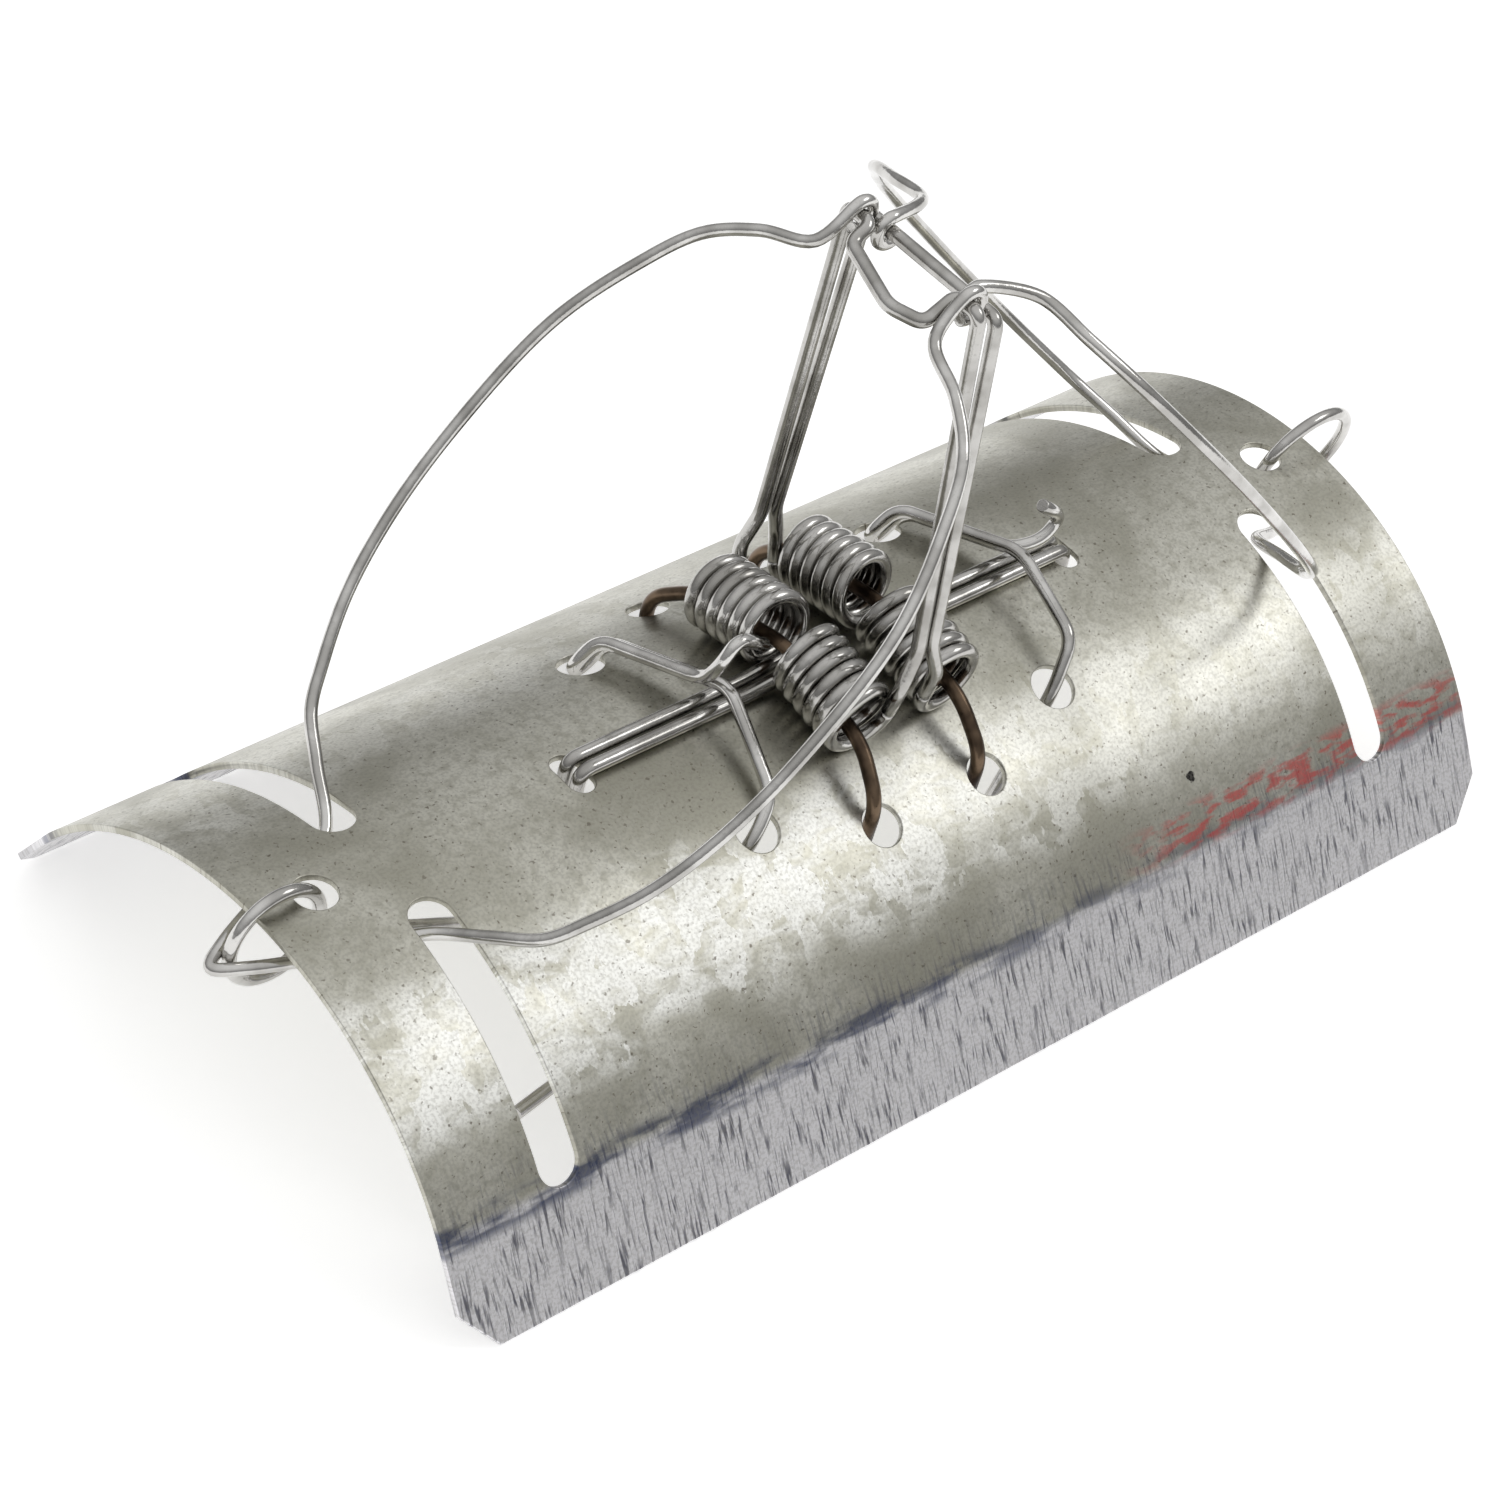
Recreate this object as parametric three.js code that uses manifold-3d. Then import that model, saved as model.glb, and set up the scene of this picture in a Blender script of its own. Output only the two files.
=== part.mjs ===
// A half-barrel tunnel trap for moles, in the sprung position.
// Millimetres. +X runs along the tunnel, +Y to the back and +Z up. The origin is on the ground
// under the middle of the barrel. Most pieces come in a left (-X) and a right (+X) copy, so places
// are given as (out, y, z), where out is the distance from the middle towards the copy's own end.

import * as THREE from 'three';
import { mergeVertices } from 'three/addons/utils/BufferGeometryUtils.js';
import Module from 'manifold-3d';

const wasm = await Module();
wasm.setup();

const radians = THREE.MathUtils.degToRad;

// Barrel: a curved sheet that runs straight into a flange along each bottom edge.
const BARREL_LENGTH = 150;
const SHEET = 0.8;
const CROWN_RADIUS = 40.25;
const CROWN_HALF_ANGLE = radians(53.5);
const FLANGE_SLOPE = radians(57);
const FLANGE_WIDTH = 13.2;
const CORNER_CUT = 4;
const FLANGE_RISE = FLANGE_WIDTH * Math.sin(FLANGE_SLOPE);
const BARREL_HEIGHT = CROWN_RADIUS * (1 - Math.cos(CROWN_HALF_ANGLE)) + FLANGE_RISE;
const CROWN_CENTRE_Z = BARREL_HEIGHT - CROWN_RADIUS;

// Openings in the barrel. A girth is the distance from the ridge, measured round the sheet.
const SLOT_OUT = 59.6;
const SLOT_WIDTH = 5;
const SLOT_GIRTHS = [8.2, 35.6];
const END_HOLE_OUT = 68;
const END_HOLE_RADIUS = 2.4;
const ANCHOR_HOLE_OUT = 35;
const ANCHOR_HOLE_RADIUS = 1.5;
const ANCHOR_HOLE_LENGTH = 5.8;
const CATCH_OUT = 21.5;
const CATCH_HOLE_GIRTH = 14.6;
const CATCH_HOLE_RADIUS = 2.6;
const AXLE_HOLE_OUT = 7.6;
const AXLE_HOLE_GIRTH = 19.9;
const AXLE_HOLE_RADIUS = 2.4;

// Wires, by diameter.
const SPRING_WIRE = 1.6;
const LOOP_WIRE = 1.4;
const CATCH_WIRE = 1.5;
const LATCH_WIRE = 1.5;
const GAP = 0.3;

// Double torsion springs: one coil in front of the ridge and one behind it, tilted to the sheet.
const COIL_OUT = 6.3;
const COIL_RADIUS = 3.7;
const COIL_TURNS = 6.25;
const COIL_END_GAP = 0.5;
const COIL_INNER = { y: 1.7, z: 32.6 };
const COIL_OUTER = { y: 12, z: 30.6 };
const ANCHOR_LEG_Y = 1.0;
const ANCHOR_LEG_Z = BARREL_HEIGHT + SPRING_WIRE / 2 + GAP / 2;
const AXLE_HOOK = { left: { out: 8.5, z: 25.4 }, right: { out: 6.8, z: 24.9 } };

// Bails: the springs' moving ends, joined across the top by a crossbar. The arms lean inwards.
const ARM_BEND = { out: 1, y: 12.4, z: 38.5 };
const CROSSBAR_Y = 9.6;
const CROSSBAR = { left: { out: 2.6, z: 81.6 }, right: { out: 0.3, z: 79.9 } };

// The left crossbar's bow, from its back end to its front end, as (out, y, z).
const BOW = [[2.6, 6.3, 81.6], [5.2, 6.1, 80.3], [7.9, -2.6, 79.7], [6.9, -6.6, 80], [2.6, -6.3, 81.6]];

// Loops: hoops that hang from the crossbars by an eye at each end and run down through the slots.
const EYE_RADIUS = (SPRING_WIRE + LOOP_WIRE) / 2 + GAP / 2;
const EYE_Y = { left: 8, right: 6.2 };
const EYE_LEAVE = { left: 53, right: 80 };
const HOOP_TOP = { out: 4.8, z: 82.1 };
const HOOP_FOOT = { out: 60.4, z: 24.2 };
const FRONT_BULGE = { left: 0, right: 0.3 };
const TONGUE = { left: { reach: 19.7, slope: radians(3) }, right: { reach: 21, slope: radians(25) } };

// The hoop's outline in its own plane: distance down from its top, and half width.
const HOOP_OUTLINE = [
  [3.6, 8.8], [6.4, 14.5], [10.4, 19.5], [17, 23], [27, 26.3], [41, 27.1],
  [52, 26.3], [61, 24.2], [68, 21], [72, 18.6], [75.5, 14], [80, 8],
];

// Catches: a trigger below the sheet and a hook above it, turning on the line between two holes.
const CATCH_PIVOT_Z = 24.3;
const CATCH_LEAN = { left: -33, right: 38 };
const TRIGGER_LENGTH = 26;
const TRIGGER_SPLAY = radians(8);
const CATCH_STRANDS = 1.7;
const CATCH_FRONT = { left: { y: -12.7, z: 3.8 }, right: { y: -12.8, z: 5.7 } };
const CATCH_BACK = { y: 13.8, z: 3.8 };
const FOOT_LENGTH = 15;

// Latch bars: a ring through the end hole and a bar that lies in the tunnel.
const LATCH_LENGTH = 50;
const LATCH = {
  left: { out: 72.4, y: 0, z: 23.7, radius: 5.5, lean: 0, dip: radians(25) },
  right: { out: 74.9, y: -0.6, z: 25.1, radius: 6.7, lean: radians(10.5), dip: radians(29) },
};

const GALVANISED = { color: 0xb5b4ac, roughness: 0.35, metalness: 0.9 };
const BRIGHT_WIRE = { color: 0xcbcccb, roughness: 0.22, metalness: 1 };
const SPRING_STEEL = { color: 0xbfc0be, roughness: 0.25, metalness: 1 };
const DARK_WIRE = { color: 0x4a3c30, roughness: 0.35, metalness: 1 };

const ENDS = { left: -1, right: 1 };
const SIDES = { front: -1, back: 1 };
const trap = new THREE.Group();

function addMesh(name, geometry, finish) {
  const mesh = new THREE.Mesh(geometry, new THREE.MeshStandardMaterial(finish));
  mesh.name = name;
  trap.add(mesh);
}

function place(hand, out, y, z) {
  return new THREE.Vector3(ENDS[hand] * out, y, z);
}

// Wires: a section at every listed point, square to the wire there.

class WirePath extends THREE.Curve {
  constructor(points) {
    super();
    this.points = points;
  }

  getUtoTmapping(u) {
    return u;
  }

  getPoint(t, target = new THREE.Vector3()) {
    const last = this.points.length - 1;
    const index = Math.min(Math.floor(t * last), last - 1);
    return target.lerpVectors(this.points[index], this.points[index + 1], t * last - index);
  }

  getTangent(t, target = new THREE.Vector3()) {
    const last = this.points.length - 1;
    const index = Math.round(t * last);
    const here = this.points[index];
    const arriving = here.clone().sub(this.points[Math.max(index - 1, 0)]).normalize();
    const leaving = this.points[Math.min(index + 1, last)].clone().sub(here).normalize();
    return target.addVectors(arriving, leaving).normalize();
  }
}

function wire(points, diameter) {
  const section = new THREE.Shape();
  section.absarc(0, 0, diameter / 2, 0, 2 * Math.PI, false);
  return new THREE.ExtrudeGeometry(section, {
    steps: points.length - 1,
    curveSegments: 3,
    bevelEnabled: false,
    extrudePath: new WirePath(points),
  });
}

// The points of a wire that runs straight between corners and bends smoothly at each one.
function bent(corners, reach, steps = 3) {
  const points = [corners[0]];
  for (let i = 1; i < corners.length - 1; i += 1) {
    const towards = (other) => {
      const step = other.clone().sub(corners[i]);
      return step.setLength(Math.min(reach, step.length() * 0.45)).add(corners[i]);
    };
    const curve = new THREE.QuadraticBezierCurve3(
      towards(corners[i - 1]), corners[i], towards(corners[i + 1]),
    );
    points.push(...curve.getPoints(steps));
  }
  points.push(corners[corners.length - 1]);
  return points;
}

function smooth(points, stepsPerSpan) {
  const curve = new THREE.CatmullRomCurve3(points, false, 'centripetal');
  return curve.getPoints(stepsPerSpan * (points.length - 1));
}

// Joins a back half to its mirror image in front, with any points on the mid-plane between them.
function bothSides(half, middle = []) {
  const mirrored = half.map((point) => new THREE.Vector3(point.x, -point.y, point.z));
  return [...half, ...middle, ...mirrored.reverse()];
}

// Barrel.

function toSolid(geometry) {
  const bare = geometry.clone();
  bare.deleteAttribute('normal');
  bare.deleteAttribute('uv');
  const welded = mergeVertices(bare, 1e-4);
  return new wasm.Manifold(new wasm.Mesh({
    numProp: 3,
    vertProperties: new Float32Array(welded.attributes.position.array),
    triVerts: new Uint32Array(welded.index.array),
  }));
}

function toGeometry(solid) {
  const mesh = solid.getMesh();
  const geometry = new THREE.BufferGeometry();
  geometry.setAttribute('position', new THREE.BufferAttribute(mesh.vertProperties, 3));
  geometry.setIndex(new THREE.BufferAttribute(mesh.triVerts, 1));
  geometry.computeVertexNormals();
  return geometry;
}

// Extrudes a cross-section, drawn with Y across and Z up, along X from one place to another.
function extrudeAlongX(shape, from, to, curveSegments) {
  const solid = new THREE.ExtrudeGeometry(shape, {
    depth: to - from, bevelEnabled: false, curveSegments,
  });
  solid.applyMatrix4(new THREE.Matrix4().makeBasis(
    new THREE.Vector3(0, 1, 0), new THREE.Vector3(0, 0, 1), new THREE.Vector3(1, 0, 0),
  ));
  solid.translate(from, 0, 0);
  return solid;
}

function onSheet(x, girth) {
  const angle = girth / CROWN_RADIUS;
  return new THREE.Vector3(
    x, CROWN_RADIUS * Math.sin(angle), CROWN_CENTRE_Z + CROWN_RADIUS * Math.cos(angle),
  );
}

function barrelSection() {
  const foot = CROWN_RADIUS * Math.sin(CROWN_HALF_ANGLE) + FLANGE_WIDTH * Math.cos(FLANGE_SLOPE);
  const innerFoot = foot - SHEET / Math.sin(FLANGE_SLOPE);
  const low = Math.PI / 2 - CROWN_HALF_ANGLE;
  const high = Math.PI / 2 + CROWN_HALF_ANGLE;
  const shape = new THREE.Shape();
  shape.moveTo(innerFoot, 0);
  shape.lineTo(foot, 0);
  shape.absarc(0, CROWN_CENTRE_Z, CROWN_RADIUS, low, high, false);
  shape.lineTo(-foot, 0);
  shape.lineTo(-innerFoot, 0);
  shape.absarc(0, CROWN_CENTRE_Z, CROWN_RADIUS - SHEET, high, low, true);
  shape.closePath();
  return shape;
}

// A cutter that stands square to the sheet.
function punch(shape, x, girth, curveSegments) {
  const depth = 6;
  const cutter = new THREE.ExtrudeGeometry(shape, { depth, bevelEnabled: false, curveSegments });
  cutter.translate(0, 0, -depth / 2);
  cutter.rotateX(-girth / CROWN_RADIUS);
  const centre = onSheet(x, girth);
  cutter.translate(centre.x, centre.y, centre.z);
  return cutter;
}

function roundHole(x, girth, radius) {
  const shape = new THREE.Shape();
  shape.absarc(0, 0, radius, 0, 2 * Math.PI, false);
  return punch(shape, x, girth, 8);
}

function anchorHole(x) {
  const straight = ANCHOR_HOLE_LENGTH / 2 - ANCHOR_HOLE_RADIUS;
  const shape = new THREE.Shape();
  shape.absarc(0, straight, ANCHOR_HOLE_RADIUS, 0, Math.PI, false);
  shape.absarc(0, -straight, ANCHOR_HOLE_RADIUS, Math.PI, 2 * Math.PI, false);
  shape.closePath();
  return punch(shape, x, 0, 6);
}

// A slot's straight part is a ring sector, and a round hole makes each of its ends.
function slotCutters(x, side) {
  const [start, end] = SLOT_GIRTHS.map((girth) => Math.PI / 2 - (side * girth) / CROWN_RADIUS);
  const margin = 3;
  const clockwise = side > 0;
  const shape = new THREE.Shape();
  shape.absarc(0, CROWN_CENTRE_Z, CROWN_RADIUS + margin, start, end, clockwise);
  shape.absarc(0, CROWN_CENTRE_Z, CROWN_RADIUS - margin, end, start, !clockwise);
  shape.closePath();
  const sector = extrudeAlongX(shape, x - SLOT_WIDTH / 2, x + SLOT_WIDTH / 2, 12);
  const ends = SLOT_GIRTHS.map((girth) => roundHole(x, side * girth, SLOT_WIDTH / 2));
  return [sector, ...ends];
}

// A wedge that takes the bottom corners off one end of the barrel, front and back.
function cornerCutter(end) {
  const shape = new THREE.Shape();
  const margin = 1;
  shape.moveTo(CORNER_CUT + margin, -margin);
  shape.lineTo(-margin, CORNER_CUT + margin);
  shape.lineTo(-margin, -margin);
  shape.closePath();
  const depth = 2 * CROWN_RADIUS;
  const wedge = new THREE.ExtrudeGeometry(shape, { depth, bevelEnabled: false });
  wedge.translate(0, 0, -depth / 2);
  wedge.rotateX(Math.PI / 2);
  if (end > 0) wedge.rotateZ(Math.PI);
  wedge.translate((end * BARREL_LENGTH) / 2, 0, 0);
  return wedge;
}

function barrel() {
  const cutters = [];
  for (const end of Object.values(ENDS)) {
    cutters.push(roundHole(end * END_HOLE_OUT, 0, END_HOLE_RADIUS));
    cutters.push(anchorHole(end * ANCHOR_HOLE_OUT));
    cutters.push(cornerCutter(end));
    for (const side of Object.values(SIDES)) {
      cutters.push(...slotCutters(end * SLOT_OUT, side));
      cutters.push(roundHole(end * CATCH_OUT, side * CATCH_HOLE_GIRTH, CATCH_HOLE_RADIUS));
      cutters.push(roundHole(end * AXLE_HOLE_OUT, side * AXLE_HOLE_GIRTH, AXLE_HOLE_RADIUS));
    }
  }
  let shell = toSolid(extrudeAlongX(barrelSection(), -BARREL_LENGTH / 2, BARREL_LENGTH / 2, 18));
  for (const cutter of cutters) shell = shell.subtract(toSolid(cutter));
  return toGeometry(shell);
}

// Springs.

// A place on a coil. Turn 0 is under the inner end, where the wire comes in from the barrel's end,
// and the last turn stops beside the middle of the barrel, where the wire leaves upwards.
function coilPoint(hand, side, turn) {
  const angle = 2 * Math.PI * turn;
  const along = turn / COIL_TURNS;
  const tilt = Math.atan2(COIL_INNER.z - COIL_OUTER.z, COIL_OUTER.y - COIL_INNER.y);
  const rise = -COIL_RADIUS * Math.cos(angle);
  return place(
    hand,
    COIL_OUT - COIL_RADIUS * Math.sin(angle),
    side * (THREE.MathUtils.lerp(COIL_INNER.y, COIL_OUTER.y, along) + rise * Math.sin(tilt)),
    THREE.MathUtils.lerp(COIL_INNER.z, COIL_OUTER.z, along) + rise * Math.cos(tilt),
  );
}

function coil(hand, side) {
  const stepsPerTurn = 12;
  const steps = COIL_TURNS * stepsPerTurn;
  const points = [];
  for (let i = 0; i <= steps; i += 1) points.push(coilPoint(hand, side, i / stepsPerTurn));
  return wire(points, SPRING_WIRE);
}

// The fixed leg runs from under the coil to the anchor hole, where its end hooks down.
function anchorLeg(hand, side) {
  const start = coilPoint(hand, side, 0);
  const y = side * ANCHOR_LEG_Y;
  return wire(bent([
    place(hand, COIL_OUT + COIL_END_GAP, start.y, start.z),
    place(hand, COIL_OUT + 5, y, ANCHOR_LEG_Z),
    place(hand, ANCHOR_HOLE_OUT, y, ANCHOR_LEG_Z),
    place(hand, ANCHOR_HOLE_OUT, y, BARREL_HEIGHT - 3.4),
  ], 1.5), SPRING_WIRE);
}

// The left crossbar's middle bows outwards, and the right one is straight.
function bail(hand) {
  const { out, z } = CROSSBAR[hand];
  const foot = coilPoint(hand, SIDES.back, COIL_TURNS);
  const corners = bothSides([
    place(hand, COIL_OUT - COIL_RADIUS, foot.y + GAP, foot.z + COIL_END_GAP),
    place(hand, COIL_OUT - COIL_RADIUS, foot.y + SPRING_WIRE / 2, foot.z + COIL_RADIUS),
    place(hand, ARM_BEND.out, ARM_BEND.y, ARM_BEND.z),
    place(hand, out, CROSSBAR_Y, z),
  ]);
  if (hand === 'left') {
    const bow = BOW.map((point) => place(hand, ...point));
    corners.splice(corners.length / 2, 0, ...bow);
  }
  return wire(bent(corners, 1), SPRING_WIRE);
}

// An axle lies in the bores of its two coils and hooks down into a hole at each end.
function axle(hand) {
  const hole = onSheet(AXLE_HOLE_OUT, AXLE_HOLE_GIRTH);
  const { out, z } = AXLE_HOOK[hand];
  const half = [
    place(hand, out, hole.y - 1.1, hole.z - 3),
    place(hand, out, hole.y - 0.8, z),
    place(hand, AXLE_HOLE_OUT - 0.5, 13.3, COIL_OUTER.z - 1.4),
  ];
  const middle = [place(hand, COIL_OUT + 0.5, 0, COIL_INNER.z - 0.4)];
  return wire(bent(bothSides(half, middle), 2.4, 4), SPRING_WIRE);
}

// Loops.

// A hoop's two strands fall in one plane, except that the right one's front strand bulges outwards.
function hoopPlace(hand, fall, y) {
  const length = Math.hypot(HOOP_FOOT.out - HOOP_TOP.out, HOOP_TOP.z - HOOP_FOOT.z);
  const bulge = y < 0 ? FRONT_BULGE[hand] * Math.sin((Math.PI * fall) / length) : 0;
  return place(
    hand,
    THREE.MathUtils.lerp(HOOP_TOP.out, HOOP_FOOT.out, fall / length) + bulge,
    y,
    THREE.MathUtils.lerp(HOOP_TOP.z, HOOP_FOOT.z, fall / length),
  );
}

// The eye is an open hook over the crossbar, and leaves it towards the hoop.
function eye(hand, side) {
  const openEnd = 300;
  const steps = 7;
  const { out, z } = CROSSBAR[hand];
  const points = [];
  for (let i = 0; i <= steps; i += 1) {
    const angle = radians(THREE.MathUtils.lerp(openEnd, EYE_LEAVE[hand], i / steps));
    points.push(place(
      hand,
      out + EYE_RADIUS * Math.cos(angle),
      side * EYE_Y[hand],
      z + EYE_RADIUS * Math.sin(angle),
    ));
  }
  return points;
}

// Below the slots the two strands of the hoop close into a tongue that reaches out of the tunnel.
function loop(hand) {
  const { reach, slope } = TONGUE[hand];
  const tonguePlace = (distance, y) => place(
    hand,
    HOOP_FOOT.out + distance * Math.cos(slope),
    y,
    HOOP_FOOT.z - distance * Math.sin(slope),
  );
  const strand = (side) => [
    ...eye(hand, side),
    ...HOOP_OUTLINE.map(([fall, width]) => hoopPlace(hand, fall, side * width)),
    tonguePlace(5, side * 6.5),
    tonguePlace(reach - 3, side * 2),
  ];
  const points = [...strand(SIDES.back), tonguePlace(reach, 0), ...strand(SIDES.front).reverse()];
  return wire(smooth(points, 2), LOOP_WIRE);
}

// Catches.

// One wire: up from the trigger through the front hole, over to the back hole, and back to the hook.
// Its places are (towards the middle, y, above the pivot) with the catch standing upright.
function catchWire(hand) {
  const strand = CATCH_STRANDS / 2;
  const triggerEnd = new THREE.Vector3(
    -TRIGGER_LENGTH * Math.sin(TRIGGER_SPLAY), -16.5, -TRIGGER_LENGTH * Math.cos(TRIGGER_SPLAY),
  );
  const corners = [
    triggerEnd,
    new THREE.Vector3(0, -14.4, 0),
    new THREE.Vector3(strand, CATCH_FRONT[hand].y, CATCH_FRONT[hand].z),
    new THREE.Vector3(strand, -1.5, 9.2),
    new THREE.Vector3(strand, CATCH_BACK.y, CATCH_BACK.z),
    new THREE.Vector3(strand, 14.6, -0.6),
    new THREE.Vector3(-strand, 14.6, -0.6),
    new THREE.Vector3(-strand, CATCH_BACK.y, CATCH_BACK.z),
    new THREE.Vector3(-strand, 0.6, 8.4),
    new THREE.Vector3(-2.5, -1, 11.2),
    new THREE.Vector3(-2.5, -1, 14.6),
    new THREE.Vector3(2.5, -1, 14.6),
  ];
  if (hand === 'left') {
    const lean = radians(CATCH_LEAN.left);
    const foot = new THREE.Vector3(-Math.cos(lean), -0.17, Math.sin(lean));
    corners.unshift(triggerEnd.clone().addScaledVector(foot, FOOT_LENGTH));
  }
  const turn = new THREE.Matrix4().makeRotationY(-radians(CATCH_LEAN[hand]));
  const placed = corners.map((corner) => {
    const turned = corner.clone().applyMatrix4(turn);
    return place(hand, CATCH_OUT - turned.x, turned.y, CATCH_PIVOT_Z + turned.z);
  });
  return wire(bent(placed, 2), CATCH_WIRE);
}

// Latch bars.

// A place in the ring's plane, by its distance from the middle and its angle below the tunnel's axis.
function latchPlace(hand, distance, angle) {
  const { out, y, z, lean } = LATCH[hand];
  const drop = distance * Math.sin(angle);
  return place(
    hand,
    out - distance * Math.cos(angle),
    y + drop * Math.sin(lean),
    z - drop * Math.cos(lean),
  );
}

function latchBar(hand) {
  const { radius, dip } = LATCH[hand];
  const steps = 22;
  const ringEnd = 345;
  const points = [];
  for (let i = 0; i <= steps; i += 1) {
    const turned = radians(THREE.MathUtils.lerp(ringEnd, 22, i / steps));
    points.push(latchPlace(hand, radius, dip + turned));
  }
  points.push(latchPlace(hand, radius + 2.2, dip), latchPlace(hand, LATCH_LENGTH, dip));
  return wire(points, LATCH_WIRE);
}

addMesh('barrel', barrel(), GALVANISED);
for (const hand of Object.keys(ENDS)) {
  for (const [face, side] of Object.entries(SIDES)) {
    addMesh(`${hand}_${face}_coil`, coil(hand, side), SPRING_STEEL);
    addMesh(`${hand}_${face}_anchor_leg`, anchorLeg(hand, side), SPRING_STEEL);
  }
  addMesh(`${hand}_axle`, axle(hand), DARK_WIRE);
  addMesh(`${hand}_bail`, bail(hand), SPRING_STEEL);
  addMesh(`${hand}_loop`, loop(hand), BRIGHT_WIRE);
  addMesh(`${hand}_catch`, catchWire(hand), BRIGHT_WIRE);
  addMesh(`${hand}_latch_bar`, latchBar(hand), BRIGHT_WIRE);
}

export default trap;
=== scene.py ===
"""A sprung half-barrel mole trap: galvanised sheet, bright wires and dark axles.

Places are in millimetres in the row frame (X along the tunnel, Y to the back, Z up) and turned
into metres as meshes are made. Most pieces come in a left (-X) and a right (+X) copy, so their
places are given as (out, y, z), where out is the distance from the middle towards their own end.
"""

import math

import bmesh
import bpy
from mathutils import Matrix, Quaternion, Vector


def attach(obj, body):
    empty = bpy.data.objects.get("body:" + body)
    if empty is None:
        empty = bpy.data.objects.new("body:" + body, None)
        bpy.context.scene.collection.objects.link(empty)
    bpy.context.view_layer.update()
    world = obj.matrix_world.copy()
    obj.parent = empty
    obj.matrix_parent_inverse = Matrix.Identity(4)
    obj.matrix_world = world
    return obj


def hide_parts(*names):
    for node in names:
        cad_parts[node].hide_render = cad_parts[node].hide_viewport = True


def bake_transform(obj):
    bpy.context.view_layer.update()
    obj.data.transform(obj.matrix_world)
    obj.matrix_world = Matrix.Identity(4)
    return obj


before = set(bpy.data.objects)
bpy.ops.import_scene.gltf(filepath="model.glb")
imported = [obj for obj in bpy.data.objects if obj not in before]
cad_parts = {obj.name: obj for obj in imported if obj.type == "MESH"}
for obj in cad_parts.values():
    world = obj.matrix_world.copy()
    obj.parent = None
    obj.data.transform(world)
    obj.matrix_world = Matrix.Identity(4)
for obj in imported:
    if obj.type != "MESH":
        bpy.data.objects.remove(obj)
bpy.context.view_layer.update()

MM = 0.001
ENDS = {"left": -1, "right": 1}
SIDES = {"front": -1, "back": 1}

# Barrel.
BARREL_LENGTH = 150
SHEET = 0.8
EDGE_ROUND = 0.12
CROWN_RADIUS = 40.25
CROWN_HALF_ANGLE = math.radians(53.5)
FLANGE_SLOPE = math.radians(57)
FLANGE_WIDTH = 13.2
CORNER_CUT = 4
CREASE_GIRTH = CROWN_RADIUS * CROWN_HALF_ANGLE
CREASE_HALF = 1.2
FLANGE_RISE = FLANGE_WIDTH * math.sin(FLANGE_SLOPE)
BARREL_HEIGHT = CROWN_RADIUS * (1 - math.cos(CROWN_HALF_ANGLE)) + FLANGE_RISE
CROWN_CENTRE_Z = BARREL_HEIGHT - CROWN_RADIUS
# The sheet's edge is square to its faces, so the outer face stops a little above the ground.
EDGE_GIRTH = CREASE_GIRTH + FLANGE_WIDTH - SHEET / math.tan(FLANGE_SLOPE)

# Openings: places along the barrel and girths, the distances round the sheet from the ridge.
SLOT_OUT = 59.6
SLOT_WIDTH = 5
SLOT_GIRTHS = (8.2, 35.6)
END_HOLE_OUT = 68
ANCHOR_HOLE_OUT = 35
ANCHOR_HOLE_LENGTH = 5.8
ANCHOR_HOLE_WIDTH = 3.0
CATCH_OUT = 21.5
CATCH_HOLE_GIRTH = 14.6
AXLE_HOLE_OUT = 7.6
AXLE_HOLE_GIRTH = 19.9
HOLE_DIAMETER = 4.8
CATCH_HOLE_DIAMETER = 5.2

# Wires, by diameter.
SPRING_WIRE = 1.6
LOOP_WIRE = 1.4
CATCH_WIRE = 1.5
LATCH_WIRE = 1.5
GAP = 0.3

# How far from each corner a wire starts to bend.
SPRING_BEND = 1.5
BAIL_BEND = 1.2
AXLE_BEND = 2.4
CATCH_BEND = 2

# Springs and bails.
COIL_OUT = 6.3
COIL_RADIUS = 3.7
COIL_TURNS = 6.25
COIL_INNER = (1.7, 32.6)
COIL_OUTER = (12, 30.6)
ANCHOR_LEG_Y = 1.0
ANCHOR_LEG_Z = BARREL_HEIGHT + SPRING_WIRE / 2 + GAP / 2
ANCHOR_LEG_DEPTH = 3.4
COIL_LEAD = 5
ARM_BEND = (1, 12.4, 38.5)
CROSSBAR_Y = 9.6
CROSSBAR = {"left": (2.6, 81.6), "right": (0.3, 79.9)}
# The left crossbar's bow, from its back end to its front end.
BOW = ((2.6, 6.3, 81.6), (5.2, 6.1, 80.3), (7.9, -2.6, 79.7), (6.9, -6.6, 80), (2.6, -6.3, 81.6))

# Axles: the middle, the bend outside each coil, the hook's bend and the end below the hole.
AXLE_MIDDLE = (COIL_OUT + 0.5, 0, COIL_INNER[1] - 0.4)
AXLE_SHOULDER = (AXLE_HOLE_OUT - 0.5, 13.3, COIL_OUTER[1] - 1.4)
AXLE_HOOK = {"left": (8.5, 25.4), "right": (6.8, 24.9)}
AXLE_HOOK_INSET = 0.8
AXLE_END_INSET = 1.1
AXLE_END_DEPTH = 3

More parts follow.
